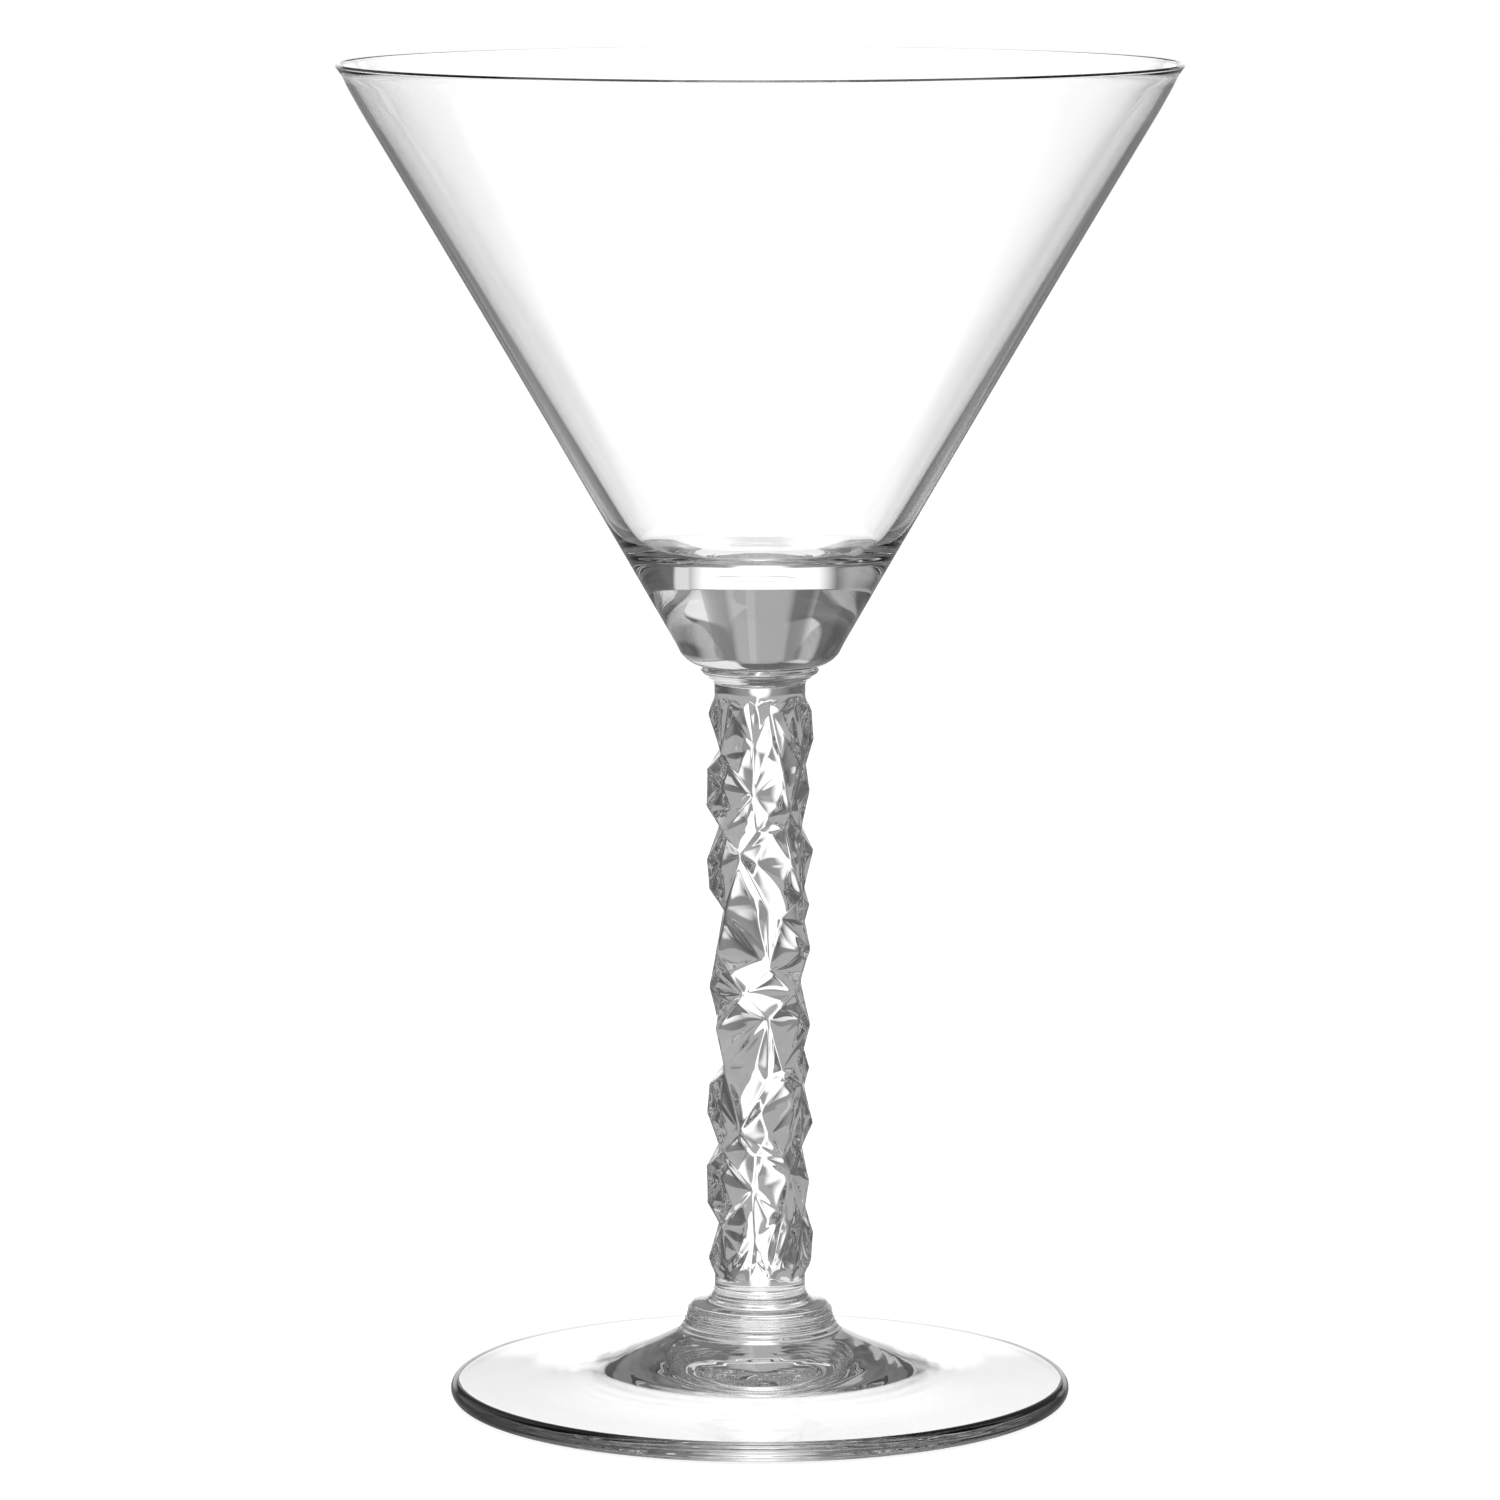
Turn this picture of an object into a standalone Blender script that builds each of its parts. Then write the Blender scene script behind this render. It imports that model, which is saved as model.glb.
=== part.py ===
"""Martini glass in clear glass: wide conical bowl, faceted pressed stem and broad round foot.

Five glass pieces are fused one on top of another about the +Z axis: the foot, a stepped lower
collar (a merese, in glassmakers' words), the faceted stem, a thin upper collar, and the bowl
with its solid base.  The origin is the centre of the foot's underside and the foot rests on
z = 0.  Facing pieces keep a joint gap of 0.3 mm between their flat fused faces.
"""

import math

import bmesh
import bpy
from mathutils import Vector
from mathutils.geometry import delaunay_2d_cdt

MM = 0.001

# Driving dimensions, in metres.
TOTAL_HEIGHT = 180.0 * MM
RIM_DIAMETER = 112.5 * MM
FOOT_DIAMETER = 83.7 * MM
JOINT_GAP = 0.3 * MM

# Heights of the joints between pieces, each the top of the lower piece.
FOOT_TOP = 9.0 * MM
LOWER_COLLAR_TOP = 15.1 * MM
STEM_TOP = 96.7 * MM
UPPER_COLLAR_TOP = 99.4 * MM
STEM_BOTTOM = LOWER_COLLAR_TOP + JOINT_GAP
STEM_MIDDLE = (STEM_TOP + STEM_BOTTOM) / 2

# Foot: rounded edge, nearly level outer band, and a boss that sweeps up to the collar.
FOOT_EDGE_THICKNESS = 2.7 * MM
FOOT_BAND_INNER_RADIUS = 30.0 * MM
FOOT_BAND_RISE = 0.5 * MM
FOOT_BOSS_RADIUS = 11.2 * MM
FOOT_HOLLOW_RADIUS = 30.0 * MM
FOOT_HOLLOW_DEPTH = 3.1 * MM
FOOT_HOLLOW_POWER = 1.2
BOSS_SWEEP_POWER = 1.75

# Collars: round neck, fillet and lip.
NECK_RADIUS = 6.1 * MM
LOWER_COLLAR_RADIUS = 10.95 * MM
LOWER_COLLAR_SHOULDER_RADIUS = 9.75 * MM
UPPER_COLLAR_RADIUS = 7.95 * MM
UPPER_COLLAR_TOP_RADIUS = 7.4 * MM

# Bowl: cone that flares slightly and draws in a little at the lip, with a thick solid base.
BOWL_BASE_FILLET = 4.0 * MM
BOWL_SLOPE_AT_BASE = 0.573
BOWL_SLOPE_AT_RIM = 0.601
BOWL_FLOOR_HEIGHT = 115.2 * MM
BOWL_FLOOR_FILLET = 8.0 * MM
LIP_TURN_IN = 0.5 * MM
LIP_TURN_HEIGHT = 8.0 * MM
WALL_AT_RIM = 1.2 * MM
WALL_AT_FLOOR = 2.2 * MM

# Facet corners of the stem's upper half as (azimuth in degrees, height in mm above the middle,
# radius in mm).  Azimuth 0 faces -Y and 90 faces +X.  The lower half is the mirror image.
MIDDLE_CORNERS = (
    (-90, 0.0, 6.85), (-20, 0.0, 6.9), (42, 0.0, 7.1), (128, 0.0, 7.1), (-155, 0.0, 6.9),
)
UPPER_CORNERS = (
    (-88, 2.5, 5.5), (-58, 5.2, 7.0), (10, 3.4, 7.0), (90, 5.1, 6.85), (158, 4.0, 7.0),
    (-122, 4.8, 6.9), (91, 8.4, 5.95), (-44, 10.9, 6.8), (-90, 10.7, 4.9), (9, 11.5, 6.9),
    (25, 10.2, 7.0), (57, 12.8, 6.8), (92, 11.1, 6.7), (124, 10.6, 6.8), (172, 11.3, 6.9),
    (-136, 10.9, 6.8), (-88, 13.4, 6.9), (90, 13.6, 6.0), (-92, 17.1, 7.2), (-23, 18.8, 6.9),
    (90, 18.6, 7.2), (142, 17.5, 7.1), (-166, 16.5, 7.1), (-46, 21.7, 7.0), (-92, 21.9, 5.5),
    (90, 21.7, 5.5), (-5, 22.0, 6.5), (27, 22.2, 7.0), (54, 21.6, 6.8), (125, 21.6, 6.8),
    (178, 22.2, 6.9), (-131, 21.6, 7.0), (-90, 24.7, 7.3), (37, 24.6, 6.8), (90, 26.6, 6.7),
    (-8, 26.8, 6.7), (152, 27.4, 7.0), (-160, 26.6, 7.0), (-90, 29.4, 7.2), (26, 30.4, 6.9),
    (54, 30.8, 7.0), (118, 30.8, 6.9), (90, 30.0, 6.15), (-48, 32.1, 7.0), (-90, 32.1, 5.2),
    (-130, 32.1, 6.9), (-6, 33.3, 7.1), (90, 33.7, 7.25), (172, 33.2, 7.1), (-88, 37.0, 6.95),
    (88, 37.3, 7.0), (-178, 37.2, 6.8), (-42, 38.6, 6.4), (12, 38.6, 6.4), (132, 38.2, 6.5),
    (-138, 38.2, 6.5),
)
STEM_NECK_LENGTH = 0.9 * MM
STEM_NECK_SIDES = 24

TURNED_SIDES = 60
ARC_STEPS = 6
FOOT_SWEEP_STEPS = 7
WALL_STEPS = 6
TURNED_SMOOTH_ANGLE = math.radians(35)
FACET_SMOOTH_ANGLE = math.radians(12)
ROUGHNESS = 0.03
GLASS_COLOUR = (0.92, 0.93, 0.94, 1.0)
GLASS_IOR = 1.52
WELD = 0.001 * MM


def clear_objects():
    """Empty the scene of whatever objects it holds."""
    for obj in list(bpy.data.objects):
        bpy.data.objects.remove(obj, do_unlink=True)


def glass_material(name):
    """Make one piece's clear, polished glass."""
    material = bpy.data.materials.new(name)
    material.use_nodes = True
    shader = material.node_tree.nodes["Principled BSDF"]
    shader.inputs["Base Color"].default_value = GLASS_COLOUR
    shader.inputs["Roughness"].default_value = ROUGHNESS
    shader.inputs["Metallic"].default_value = 0.0
    shader.inputs["IOR"].default_value = GLASS_IOR
    shader.inputs["Transmission Weight"].default_value = 1.0
    return material


def add_piece(name, bm, root, smooth_angle):
    """Turn a bmesh into the named object, parented to the glass's empty."""
    bmesh.ops.remove_doubles(bm, verts=bm.verts, dist=WELD)
    bmesh.ops.recalc_face_normals(bm, faces=bm.faces)
    mesh = bpy.data.meshes.new(name)
    bm.to_mesh(mesh)
    bm.free()
    mesh.shade_smooth()
    mesh.set_sharp_from_angle(angle=smooth_angle)
    piece = bpy.data.objects.new(name, mesh)
    piece.data.materials.append(glass_material(name + "_glass"))
    piece.parent = root
    bpy.context.scene.collection.objects.link(piece)
    return piece


def turned_piece(name, profile, root):
    """Spin an outline of (radius, height) points, from axis to axis, into a closed solid."""
    bm = bmesh.new()
    corners = [bm.verts.new((radius, 0.0, height)) for radius, height in profile]
    edges = [bm.edges.new(pair) for pair in zip(corners, corners[1:])]
    bmesh.ops.spin(
        bm, geom=corners + edges, cent=(0, 0, 0), axis=(0, 0, 1),
        angle=math.tau, steps=TURNED_SIDES, use_merge=False,
    )
    return add_piece(name, bm, root, smooth_angle=TURNED_SMOOTH_ANGLE)


def heights_between(start, end):
    """Even heights strictly between two others, for the bowl's long walls."""
    return [start + (end - start) * i / WALL_STEPS for i in range(1, WALL_STEPS)]


def arc(centre, radius, start, end):
    """Points of a circular arc in the (radius, height) plane, angles in degrees, ends included."""
    angles = [math.radians(start + (end - start) * i / ARC_STEPS) for i in range(ARC_STEPS + 1)]
    return [(centre[0] + radius * math.cos(a), centre[1] + radius * math.sin(a)) for a in angles]


def foot_outline():
    """Foot from the middle of its underside, round its edge and up the boss to its top."""
    edge_radius = FOOT_EDGE_THICKNESS / 2
    edge_centre = (FOOT_DIAMETER / 2 - edge_radius, edge_radius)
    shares = [i / FOOT_SWEEP_STEPS for i in range(FOOT_SWEEP_STEPS + 1)]
    hollow = [(FOOT_HOLLOW_RADIUS * share, FOOT_HOLLOW_DEPTH * (1 - share**2) ** FOOT_HOLLOW_POWER) for share in shares]
    band_height = FOOT_EDGE_THICKNESS + FOOT_BAND_RISE
    boss_width = FOOT_BAND_INNER_RADIUS - FOOT_BOSS_RADIUS
    boss_rise = FOOT_TOP - band_height
    boss = [
        (FOOT_BAND_INNER_RADIUS - boss_width * share, band_height + boss_rise * share**BOSS_SWEEP_POWER)
        for share in shares
    ]
    return hollow + arc(edge_centre, edge_radius, -90, 90) + boss + [(0.0, FOOT_TOP)]


def lower_collar_outline():
    """Stepped collar: skirt on the foot, rounded shoulder, then a fillet up to the neck."""
    bottom = FOOT_TOP + JOINT_GAP
    shoulder_round = 1.2 * MM
    shoulder_height = 11.7 * MM
    shoulder_centre = (LOWER_COLLAR_SHOULDER_RADIUS - shoulder_round, shoulder_height)
    shoulder = arc(shoulder_centre, shoulder_round, 0, 70)
    skirt = [(0.0, bottom), (LOWER_COLLAR_RADIUS, bottom), (10.3 * MM, 10.2 * MM), (9.95 * MM, 11.0 * MM)]
    fillet = [(7.6 * MM, 13.15 * MM), (6.8 * MM, 13.6 * MM), (6.3 * MM, 14.3 * MM)]
    neck = [(NECK_RADIUS, LOWER_COLLAR_TOP), (0.0, LOWER_COLLAR_TOP)]
    return skirt + shoulder + fillet + neck


def upper_collar_outline():
    """Thin collar: neck, hollow fillet and a lip under the bowl."""
    bottom = STEM_TOP + JOINT_GAP
    fillet = [(6.2 * MM, 97.4 * MM), (6.6 * MM, 97.8 * MM), (7.2 * MM, 98.25 * MM)]
    lip = [(7.75 * MM, 98.7 * MM), (UPPER_COLLAR_RADIUS, 99.0 * MM), (7.8 * MM, 99.25 * MM)]
    top = [(UPPER_COLLAR_TOP_RADIUS, UPPER_COLLAR_TOP), (0.0, UPPER_COLLAR_TOP)]
    return [(0.0, bottom), (NECK_RADIUS, bottom)] + fillet + lip + top


def bowl_outer_radius(height):
    """Outer radius of the wall: its slope grows evenly from base to rim, and the lip turns in."""
    base = UPPER_COLLAR_TOP + JOINT_GAP
    below_rim = TOTAL_HEIGHT - height
    slope_gain = (BOWL_SLOPE_AT_RIM - BOWL_SLOPE_AT_BASE) / (TOTAL_HEIGHT - base)
    flare = RIM_DIAMETER / 2 + LIP_TURN_IN - BOWL_SLOPE_AT_RIM * below_rim + slope_gain * below_rim**2 / 2
    turn = max(0.0, 1 - below_rim / LIP_TURN_HEIGHT)
    return flare - LIP_TURN_IN * turn**2


def bowl_inner_radius(height):
    """Inner radius of the bowl's wall, which thins evenly from the floor to the rim."""
    share = (height - BOWL_FLOOR_HEIGHT) / (TOTAL_HEIGHT - BOWL_FLOOR_HEIGHT)
    thickness = WALL_AT_FLOOR + (WALL_AT_RIM - WALL_AT_FLOOR) * share
    return bowl_outer_radius(height) - thickness / math.cos(math.atan(BOWL_SLOPE_AT_RIM))


def fillet_to_wall(floor_height, wall_radius, fillet_radius):
    """Arc from a level floor, tangent to it, up to the slanted wall that starts at wall_radius."""
    rise = math.degrees(math.atan2(1.0, BOWL_SLOPE_AT_BASE))
    start_radius = wall_radius - fillet_radius * math.tan(math.radians(rise / 2))
    return arc((start_radius, floor_height + fillet_radius), fillet_radius, -90, -90 + rise)


def bowl_outline():
    """Bowl from the middle of its base, up outside, over the lip and down to the floor."""
    base = UPPER_COLLAR_TOP + JOINT_GAP
    lip_radius = WALL_AT_RIM / 2
    outer_fillet = fillet_to_wall(base, bowl_outer_radius(base), BOWL_BASE_FILLET)
    inner_fillet = fillet_to_wall(BOWL_FLOOR_HEIGHT, bowl_inner_radius(BOWL_FLOOR_HEIGHT), BOWL_FLOOR_FILLET)
    lip_height = TOTAL_HEIGHT - lip_radius
    lip = arc((RIM_DIAMETER / 2 - lip_radius, lip_height), lip_radius, 0, 180)
    outer = heights_between(outer_fillet[-1][1], lip_height)
    inner = heights_between(lip_height, inner_fillet[-1][1])
    return (
        [(0.0, base)]
        + outer_fillet
        + [(bowl_outer_radius(z), z) for z in outer]
        + lip
        + [(bowl_inner_radius(z), z) for z in inner]
        + inner_fillet[::-1]
        + [(0.0, BOWL_FLOOR_HEIGHT)]
    )


def stem_corners():
    """All corners of the stem's skin as (azimuth in radians, height, radius), in metres."""
    corners = [(math.radians(a), STEM_MIDDLE + h * MM, r * MM) for a, h, r in MIDDLE_CORNERS]
    for azimuth, height, radius in UPPER_CORNERS:
        for side in (1, -1):
            corners.append((math.radians(azimuth), STEM_MIDDLE + side * height * MM, radius * MM))
    for neck_height in (STEM_TOP - STEM_NECK_LENGTH, STEM_BOTTOM + STEM_NECK_LENGTH):
        for i in range(STEM_NECK_SIDES):
            azimuth = math.tau * (i / STEM_NECK_SIDES - 0.5)
            corners.append((azimuth, neck_height, NECK_RADIUS))
    return corners


def unrolled_triangles(corners):
    """Delaunay triangles of the corners on the unrolled cylinder, joined up across its seam.

    The flat sheet is laid out three times side by side, and a triangle is kept where its middle
    falls on the centre sheet, so the facets close round the stem.
    """
    width = math.tau * NECK_RADIUS
    flat = []
    for sheet in (-1, 0, 1):
        flat += [Vector((azimuth * NECK_RADIUS + sheet * width, height)) for azimuth, height, _ in corners]
    points, _, faces, sources, _, _ = delaunay_2d_cdt(flat, [], [], 0, 1e-9)
    triangles = []
    for face in faces:
        middle = sum(points[i].x for i in face) / len(face)
        if -width / 2 <= middle < width / 2:
            triangles.append([sources[i][0] % len(corners) for i in face])
    return triangles


def close_neck(bm, ring, end_height):
    """Draw a ring of open edges straight out to end_height and close it with a flat face."""
    drawn = bmesh.ops.extrude_edge_only(bm, edges=ring)["geom"]
    end_verts = [item for item in drawn if isinstance(item, bmesh.types.BMVert)]
    for vert in end_verts:
        vert.co.z = end_height
    drawn_edges = [item for item in drawn if isinstance(item, bmesh.types.BMEdge)]
    end_edges = [edge for edge in drawn_edges if all(vert in end_verts for vert in edge.verts)]
    bmesh.ops.contextual_create(bm, geom=end_edges)


def stem_piece(root):
    """Faceted stem: flat triangles between the corners, and a short round neck at each end."""
    corners = stem_corners()
    bm = bmesh.new()
    verts = [bm.verts.new((r * math.sin(a), -r * math.cos(a), z)) for a, z, r in corners]
    for triangle in unrolled_triangles(corners):
        bm.faces.new([verts[i] for i in triangle])
    open_edges = [edge for edge in bm.edges if edge.is_boundary]
    upper_ring = [edge for edge in open_edges if edge.verts[0].co.z > STEM_MIDDLE]
    lower_ring = [edge for edge in open_edges if edge.verts[0].co.z < STEM_MIDDLE]
    close_neck(bm, upper_ring, STEM_TOP)
    close_neck(bm, lower_ring, STEM_BOTTOM)
    return add_piece("stem", bm, root, smooth_angle=FACET_SMOOTH_ANGLE)


def main():
    """Build the five pieces under one empty."""
    clear_objects()
    root = bpy.data.objects.new("martini_glass", None)
    bpy.context.scene.collection.objects.link(root)
    turned_piece("foot", foot_outline(), root)
    turned_piece("lower_collar", lower_collar_outline(), root)
    stem_piece(root)
    turned_piece("upper_collar", upper_collar_outline(), root)
    turned_piece("bowl", bowl_outline(), root)


main()
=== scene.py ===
"""Martini glass in clear fused glass: fine surfaces, glass finishes and a white-card studio.

The glass is five gathers fused about the +Z axis: foot, lower collar, faceted stem, upper collar
and bowl. Each class below holds one gather's sizes, works its surface out as numpy arrays and
dresses it. Where two gathers are fused, both keep a flat joint face of clear nothing, so that
light runs through the joint as it does in glass that was joined hot.

The surround is fitted to the camera at rest: the cards give clear glass its dark edges and grey
facets from there, and from other sides the glass looks greyer in places.
"""

import logging
import math
from collections.abc import Callable
from dataclasses import dataclass
from enum import Enum
from typing import ClassVar

import bpy
import numpy as np
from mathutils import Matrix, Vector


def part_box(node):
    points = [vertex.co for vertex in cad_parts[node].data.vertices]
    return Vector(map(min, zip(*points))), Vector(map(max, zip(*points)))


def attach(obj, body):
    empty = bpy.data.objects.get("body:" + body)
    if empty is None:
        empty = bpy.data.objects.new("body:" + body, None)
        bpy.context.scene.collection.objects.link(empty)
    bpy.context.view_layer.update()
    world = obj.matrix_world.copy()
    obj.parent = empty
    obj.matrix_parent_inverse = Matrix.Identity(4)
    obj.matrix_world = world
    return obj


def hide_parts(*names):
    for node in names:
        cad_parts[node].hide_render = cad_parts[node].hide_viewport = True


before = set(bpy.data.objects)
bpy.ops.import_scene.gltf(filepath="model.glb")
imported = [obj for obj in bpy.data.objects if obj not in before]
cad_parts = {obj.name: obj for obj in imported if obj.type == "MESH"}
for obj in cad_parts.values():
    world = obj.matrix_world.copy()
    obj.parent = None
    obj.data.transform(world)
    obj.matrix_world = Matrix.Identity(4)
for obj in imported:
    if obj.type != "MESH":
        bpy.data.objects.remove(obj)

LOG = logging.getLogger("martini_glass")
MM = 0.001
BODY = "root"
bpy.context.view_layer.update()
JOINT_REACH = 0.14 * MM
"""How far a piece reaches into the CAD's joint gap at each fused face."""
WELD_CELL = 0.002 * MM
"""Size of the cells in which points count as one point."""
SAME_LEVEL = 1e-8
"""Metres by which a point of a level fused face may be off it."""
SAME_PLACE = 1e-7
"""Metres below which two points of an outline are one."""

Profile = np.ndarray
Offset = Callable[[np.ndarray, np.ndarray, np.ndarray], np.ndarray]


class Slot(Enum):
    """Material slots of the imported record."""

    BOWL = "bowl_glass"
    STEM = "stem_glass"
    COLLAR = "collar_glass"
    FOOT = "foot_glass"


class Face(Enum):
    """What a face of a gather is: open glass, or a flat face fused to the next gather."""

    GLASS = 0
    FUSED = 1


# Profiles in the (radius, height) plane


def line(start: tuple[float, float], end: tuple[float, float], steps: int) -> Profile:
    """Even points on a straight stretch, both ends included.

    Args:
        start: First (radius, height) point.
        end: Last (radius, height) point.
        steps: Number of stretches between points.

    Returns:
        Array of (radius, height) rows.
    """
    share = np.linspace(0.0, 1.0, steps + 1)[:, None]
    return np.asarray(start) * (1.0 - share) + np.asarray(end) * share


def arc(centre: tuple[float, float], radius: float, start: float, end: float, steps: int) -> Profile:
    """Points of a circular arc: centre + radius * (cos a, sin a) for even angles a.

    Args:
        centre: Centre of the arc in the profile plane.
        radius: Radius of the arc.
        start: First angle, in degrees from outwards towards up.
        end: Last angle, in degrees.
        steps: Number of stretches between points.

    Returns:
        Array of (radius, height) rows.
    """
    angles = np.radians(np.linspace(start, end, steps + 1))
    return np.asarray(centre) + radius * np.stack([np.cos(angles), np.sin(angles)], axis=1)


def smooth_curve(points: list[tuple[float, float]], steps: int) -> Profile:
    """Catmull-Rom curve through the points, with its end points repeated to close the ends.

    Args:
        points: (radius, height) points that the curve passes through.
        steps: Number of stretches between two neighbouring points.

    Returns:
        Array of (radius, height) rows.
    """
    knots = np.asarray([points[0], *points, points[-1]], float)
    share = np.linspace(0.0, 1.0, steps, endpoint=False)[None, :, None]
    before, first, second, after = (knots[i : len(knots) - 3 + i, None, :] for i in range(4))
    curve = 0.5 * (
        2 * first
        + (second - before) * share
        + (2 * before - 5 * first + 4 * second - after) * share**2
        + (3 * first - before - 3 * second + after) * share**3
    )
    return np.vstack([curve.reshape(-1, 2), knots[-1:]])


def join(*stretches: Profile) -> Profile:
    """Stretches laid end to end, with the points that they share kept once."""
    points = np.vstack(stretches)
    step = np.linalg.norm(np.diff(points, axis=0), axis=1)
    return points[np.concatenate([[True], step > SAME_PLACE])]


def smooth_step(low: float, high: float, value: np.ndarray) -> np.ndarray:
    """Smooth share of the way from low to high: 3s^2 - 2s^3 with s clipped to 0 to 1."""
    share = np.clip((value - low) / (high - low), 0.0, 1.0)
    return share * share * (3.0 - 2.0 * share)


def between(low: float, high: float, start: float, end: float, value: np.ndarray) -> np.ndarray:
    """Smooth window: 0 at low and at high, and 1 from low + start to high - end."""
    return smooth_step(low, low + start, value) * (1 - smooth_step(high - end, high, value))


def wander(angle: np.ndarray, height: np.ndarray, seed: int, waves: int, pitch: float) -> np.ndarray:
    """Gentle irregular relief of a hand-worked surface, between about -1 and 1.

    A sum of sines sin(k * angle + 2 pi height / pitch_k + phase_k), whose turns k, pitches and
    phases come from a seeded draw.

    Args:
        angle: Azimuths in radians.
        height: Heights in metres.
        seed: Seed of the draw.
        waves: Number of sines.
        pitch: Shortest pitch along the height, in metres.

    Returns:
        Relief at each point, shaped as the inputs broadcast.
    """
    draw = np.random.default_rng(seed)
    relief = np.zeros(np.broadcast(angle, height).shape)
    for _ in range(waves):
        turns = draw.integers(1, 6)
        wave = pitch * draw.uniform(1.0, 4.0) * draw.choice([-1, 1])
        relief += np.sin(turns * angle + math.tau * height / wave + draw.uniform(0, math.tau))
    return relief / math.sqrt(waves)


# Meshes


@dataclass
class Surface:
    """A closed surface as arrays, before it becomes a mesh.

    Attributes:
        points: Vertex positions, one row each.
        faces: Vertex indices of each face.
        kinds: What each face is, as a Face value.
    """

    points: np.ndarray
    faces: list[list[int]]
    kinds: np.ndarray

    def piece(self, name: str, materials: dict[Face, bpy.types.Material], sharp: float) -> bpy.types.Object:
        """Make the mesh object.

        Args:
            name: Name of the piece.
            materials: Material of each kind of face.
            sharp: Angle in degrees above which an edge stays sharp.

        Returns:
            The new object, in the scene's collection.
        """
        mesh = bpy.data.meshes.new(name)
        mesh.from_pydata(self.points.tolist(), [], self.faces)
        for kind in Face:
            mesh.materials.append(materials[kind])
        mesh.polygons.foreach_set("material_index", self.kinds.astype(np.int32))
        mesh.shade_smooth()
        mesh.set_sharp_from_angle(angle=math.radians(sharp))
        mesh.validate()
        mesh.update()
        made = bpy.data.objects.new(name, mesh)
        bpy.context.scene.collection.objects.link(made)
        return made


def turned(profile: Profile, columns: int, fused: list[tuple[int, int]], relief: Offset | None) -> Surface:
    """Turn a profile that runs from axis to axis, anticlockwise, into a closed surface.

    A point of the surface is (r sin a, -r cos a, h) for the profile's radius r and height h and
    the azimuth a. The relief moves it along the profile's outward normal.

    Args:
        profile: (radius, height) rows whose first and last points are on the axis.
        columns: Number of azimuths.
        fused: Ranges of profile stretches (first, last) that are fused faces.
        relief: Function of azimuth, radius and height that gives the offset, or None.

    Returns:
        The closed surface.
    """
    ring = profile[1:-1]
    angle = np.arange(columns) / columns * math.tau
    along = np.gradient(profile, axis=0)[1:-1]
    outward = np.stack([along[:, 1], -along[:, 0]], axis=1)
    outward /= np.linalg.norm(outward, axis=1)[:, None]
    radius = np.repeat(ring[:, :1], columns, axis=1)
    height = np.repeat(ring[:, 1:], columns, axis=1)
    if relief is not None:
        offset = relief(angle[None, :], radius, height)
        radius = radius + offset * outward[:, :1]
        height = height + offset * outward[:, 1:]
    grid = np.stack([radius * np.sin(angle), -radius * np.cos(angle), height], axis=2)
    poles = np.array([[0.0, 0.0, profile[0, 1]], [0.0, 0.0, profile[-1, 1]]])
    points = np.vstack([grid.reshape(-1, 3), poles])
    rows = len(ring)
    row, column = np.meshgrid(np.arange(rows - 1), np.arange(columns), indexing="ij")
    after = (column + 1) % columns
    here, above = row * columns, (row + 1) * columns
    quads = np.stack([here + column, here + after, above + after, above + column], axis=2).reshape(-1, 4)
    first = np.arange(columns)
    last = (rows - 1) * columns + first
    following = (first + 1) % columns
    start_fan = np.stack([np.full(columns, len(points) - 2), following, first], axis=1)
    end_fan = np.stack([np.full(columns, len(points) - 1), last, (rows - 1) * columns + following], axis=1)
    kinds = np.full(len(profile) - 1, Face.GLASS.value)
    for low, high in fused:
        kinds[low:high] = Face.FUSED.value
    faces = start_fan.tolist() + quads.tolist() + end_fan.tolist()
    return Surface(points, faces, np.repeat(kinds, columns))


def welded(points: np.ndarray) -> tuple[np.ndarray, np.ndarray]:
    """Count all points in one cell of a fine grid as one point.

    Args:
        points: Point positions, one row each.

    Returns:
        The positions that are kept, and the new number of each old point.
    """
    cells = np.round(points / WELD_CELL).astype(np.int64)
    _, first, number = np.unique(cells, axis=0, return_index=True, return_inverse=True)
    return points[first], number.reshape(-1)


def fused_stretches(profile: Profile, height: float, radius: float) -> list[tuple[int, int]]:
    """Stretches of a profile that lie flat at a height, within a radius of the axis.

    Args:
        profile: (radius, height) rows.
        height: Height of the flat fused face.
        radius: Radius of the fused disc.

    Returns:
        Ranges (first, last) of stretches.
    """
    flat = np.abs(profile[:, 1] - height) < SAME_LEVEL
    inside = profile[:, 0] <= radius + SAME_LEVEL
    both = (flat & inside)[:-1] & (flat & inside)[1:]
    found = np.flatnonzero(both)
    return [(int(i), int(i) + 1) for i in found]


# Shader nodes


class NodePen:
    """Places nodes in one node tree and joins them up."""

    def __init__(self, tree: bpy.types.NodeTree) -> None:
        """Keep the tree that the nodes go in."""
        self.tree = tree

    def node(self, kind: str, inputs: dict | None = None, **settings: object) -> bpy.types.Node:
        """Place a node.

        Args:
            kind: Blender's identifier of the node type.
            inputs: Value or source socket of each named or numbered input.
            **settings: Attributes to set on the node.

        Returns:
            The new node.
        """
        made = self.tree.nodes.new(kind)
        for name, value in settings.items():
            setattr(made, name, value)
        for key, value in (inputs or {}).items():
            if isinstance(value, bpy.types.NodeSocket):
                self.tree.links.new(value, made.inputs[key])
            else:
                made.inputs[key].default_value = value
        return made

    def math(self, operation: str, *values: object) -> bpy.types.NodeSocket:
        """Place a Math node on the given values or sockets and return its output."""
        return self.node("ShaderNodeMath", dict(enumerate(values)), operation=operation).outputs[0]

    def smooth(
        self, value: bpy.types.NodeSocket, low: object, high: object, start: float, end: float
    ) -> bpy.types.NodeSocket:
        """Place a smooth Map Range from low..high to start..end and return its output."""
        inputs = {"Value": value, "From Min": low, "From Max": high, "To Min": start, "To Max": end}
        return self.node("ShaderNodeMapRange", inputs, interpolation_type="SMOOTHSTEP").outputs["Result"]


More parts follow.
